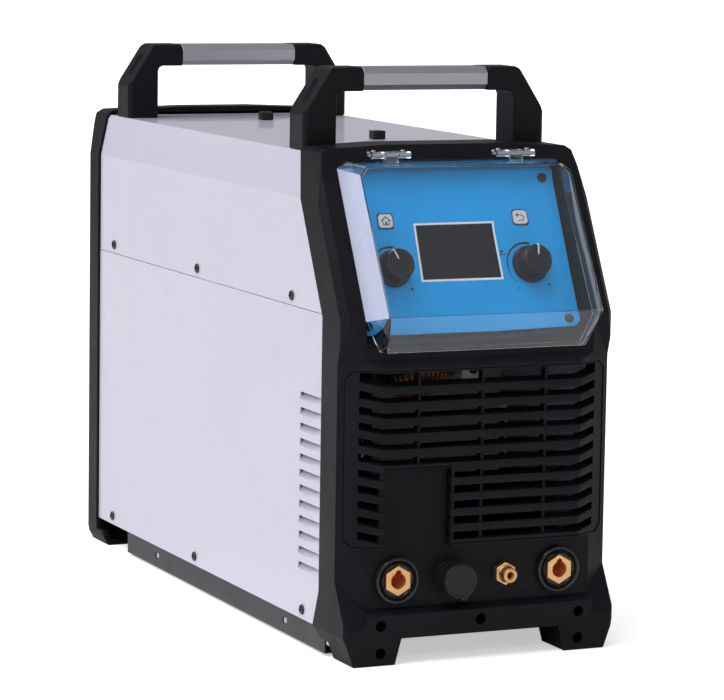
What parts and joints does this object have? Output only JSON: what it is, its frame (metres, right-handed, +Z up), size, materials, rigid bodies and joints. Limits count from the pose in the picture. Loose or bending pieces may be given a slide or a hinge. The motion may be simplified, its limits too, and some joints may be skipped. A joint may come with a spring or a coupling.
{
  "type": "tig welding machine",
  "caption": "Inverter TIG welding power source with moulded front and rear ends, sheet metal case, hinged clear cover over the controls and carrying handles",
  "frame": {"origin": "bottom centre of the whole machine, on the floor between the feet", "axes": "X to the right seen from the front, Y to the rear along the length, Z up; the control panel faces -Y"},
  "size_m": [0.27, 0.7008, 0.5255],
  "materials": {
    "black_moulding": "fine moulded texture",
    "blue_panel": "printed satin film",
    "screen": "dark gloss window",
    "circuit_board": "green solder mask",
    "knob_plastic": "satin moulded",
    "bright_steel": "zinc plated",
    "button_plastic": "smooth moulded",
    "clear_plastic": "clear polycarbonate",
    "white_paint": "smooth baked paint",
    "chassis_paint": "dark grey paint",
    "fan_plastic": "moulded",
    "lever_plastic": "light grey moulded",
    "brass": "turned brass",
    "insulator": "satin moulded",
    "connector_metal": "nickel plated",
    "screw_black": "blackened steel",
    "satin_aluminium": "satin extruded",
    "capacitor_sleeve": "shrink sleeve",
    "core_iron": "laminated core",
    "varnished_winding": "varnished tape",
    "copper_wire": "enamelled copper"
  },
  "bodies": {
    "machine": {"front_bezel": "black_moulding", "front_grille": "black_moulding", "control_panel": "blue_panel", "display_module": "screen", "control_board": "circuit_board", "encoder_left": "bright_steel", "encoder_right": "bright_steel", "hinge_base_left": "clear_plastic", "hinge_base_right": "clear_plastic", "hinge_pin_left": "bright_steel", "hinge_pin_right": "bright_steel", "top_lid": "white_paint", "side_panel_left": "white_paint", "side_panel_right": "white_paint", "base_chassis": "chassis_paint", "rear_bezel": "black_moulding", "rear_panel": "chassis_paint", "fan_frame": "fan_plastic", "fan_guard": "bright_steel", "breaker_body": "fan_plastic", "cable_gland": "fan_plastic", "gas_inlet": "brass", "earth_stud": "brass", "socket_insulator_negative": "insulator", "socket_insulator_positive": "insulator", "socket_insert_negative": "brass", "socket_insert_positive": "brass", "gas_outlet": "brass", "remote_connector": "connector_metal", "cap_strap": "insulator", "strap_screw": "screw_black", "handle_bracket_front_left": "black_moulding", "handle_bracket_front_right": "black_moulding", "handle_bracket_rear_left": "black_moulding", "handle_bracket_rear_right": "black_moulding", "handle_grip_front": "satin_aluminium", "handle_grip_rear": "satin_aluminium", "lid_stud_front": "insulator", "lid_stud_rear": "insulator", "heat_sink_left": "satin_aluminium", "heat_sink_right": "satin_aluminium", "inner_shelf": "bright_steel", "power_board": "circuit_board", "bus_capacitor_1": "capacitor_sleeve", "bus_capacitor_2": "capacitor_sleeve", "transformer_core": "core_iron", "transformer_winding": "varnished_winding", "output_choke": "copper_wire", "ignition_coil": "copper_wire", "ignition_board": "circuit_board", "current_sensor": "lever_plastic", "gas_valve": "brass"},
    "knob_left": {"knob_left": "knob_plastic"},
    "knob_right": {"knob_right": "knob_plastic"},
    "home_button": {"home_button": "button_plastic"},
    "return_button": {"return_button": "button_plastic"},
    "cover": {"clear_cover": "clear_plastic"},
    "rotor": {"fan_rotor": "fan_plastic"},
    "lever": {"breaker_lever": "lever_plastic"},
    "cap": {"connector_cap": "insulator"}
  },
  "joints": [
    {"name": "left_knob_turn", "type": "hinge", "parent": "machine", "child": "knob_left", "pos_m": [-0.0693, -0.28233, 0.352], "axis": [0, -0.9239, 0.3827], "continuous": true},
    {"name": "right_knob_turn", "type": "hinge", "parent": "machine", "child": "knob_right", "pos_m": [0.0693, -0.28233, 0.352], "axis": [0, -0.9239, 0.3827], "continuous": true},
    {"name": "home_press", "type": "slide", "parent": "machine", "child": "home_button", "axis": [0, 0.9239, -0.3827], "range_m": [0, 0.001], "stiffness_N_per_m": 900},
    {"name": "return_press", "type": "slide", "parent": "machine", "child": "return_button", "axis": [0, 0.9239, -0.3827], "range_m": [0, 0.001], "stiffness_N_per_m": 900},
    {"name": "cover_open", "type": "hinge", "parent": "machine", "child": "cover", "pos_m": [0, -0.2535, 0.4495], "axis": [-1, 0, 0], "range_deg": [0, 100]},
    {"name": "rotor_spin", "type": "hinge", "parent": "machine", "child": "rotor", "pos_m": [0, 0.317, 0.236], "axis": [0, 1, 0], "continuous": true},
    {"name": "lever_tilt", "type": "hinge", "parent": "machine", "child": "lever", "pos_m": [-0.062, 0.338, 0.384], "axis": [1, 0, 0], "range_deg": [-22, 22]},
    {"name": "cap_pull", "type": "slide", "parent": "machine", "child": "cap", "axis": [0, -1, 0], "range_m": [0, 0.03]}
  ]
}
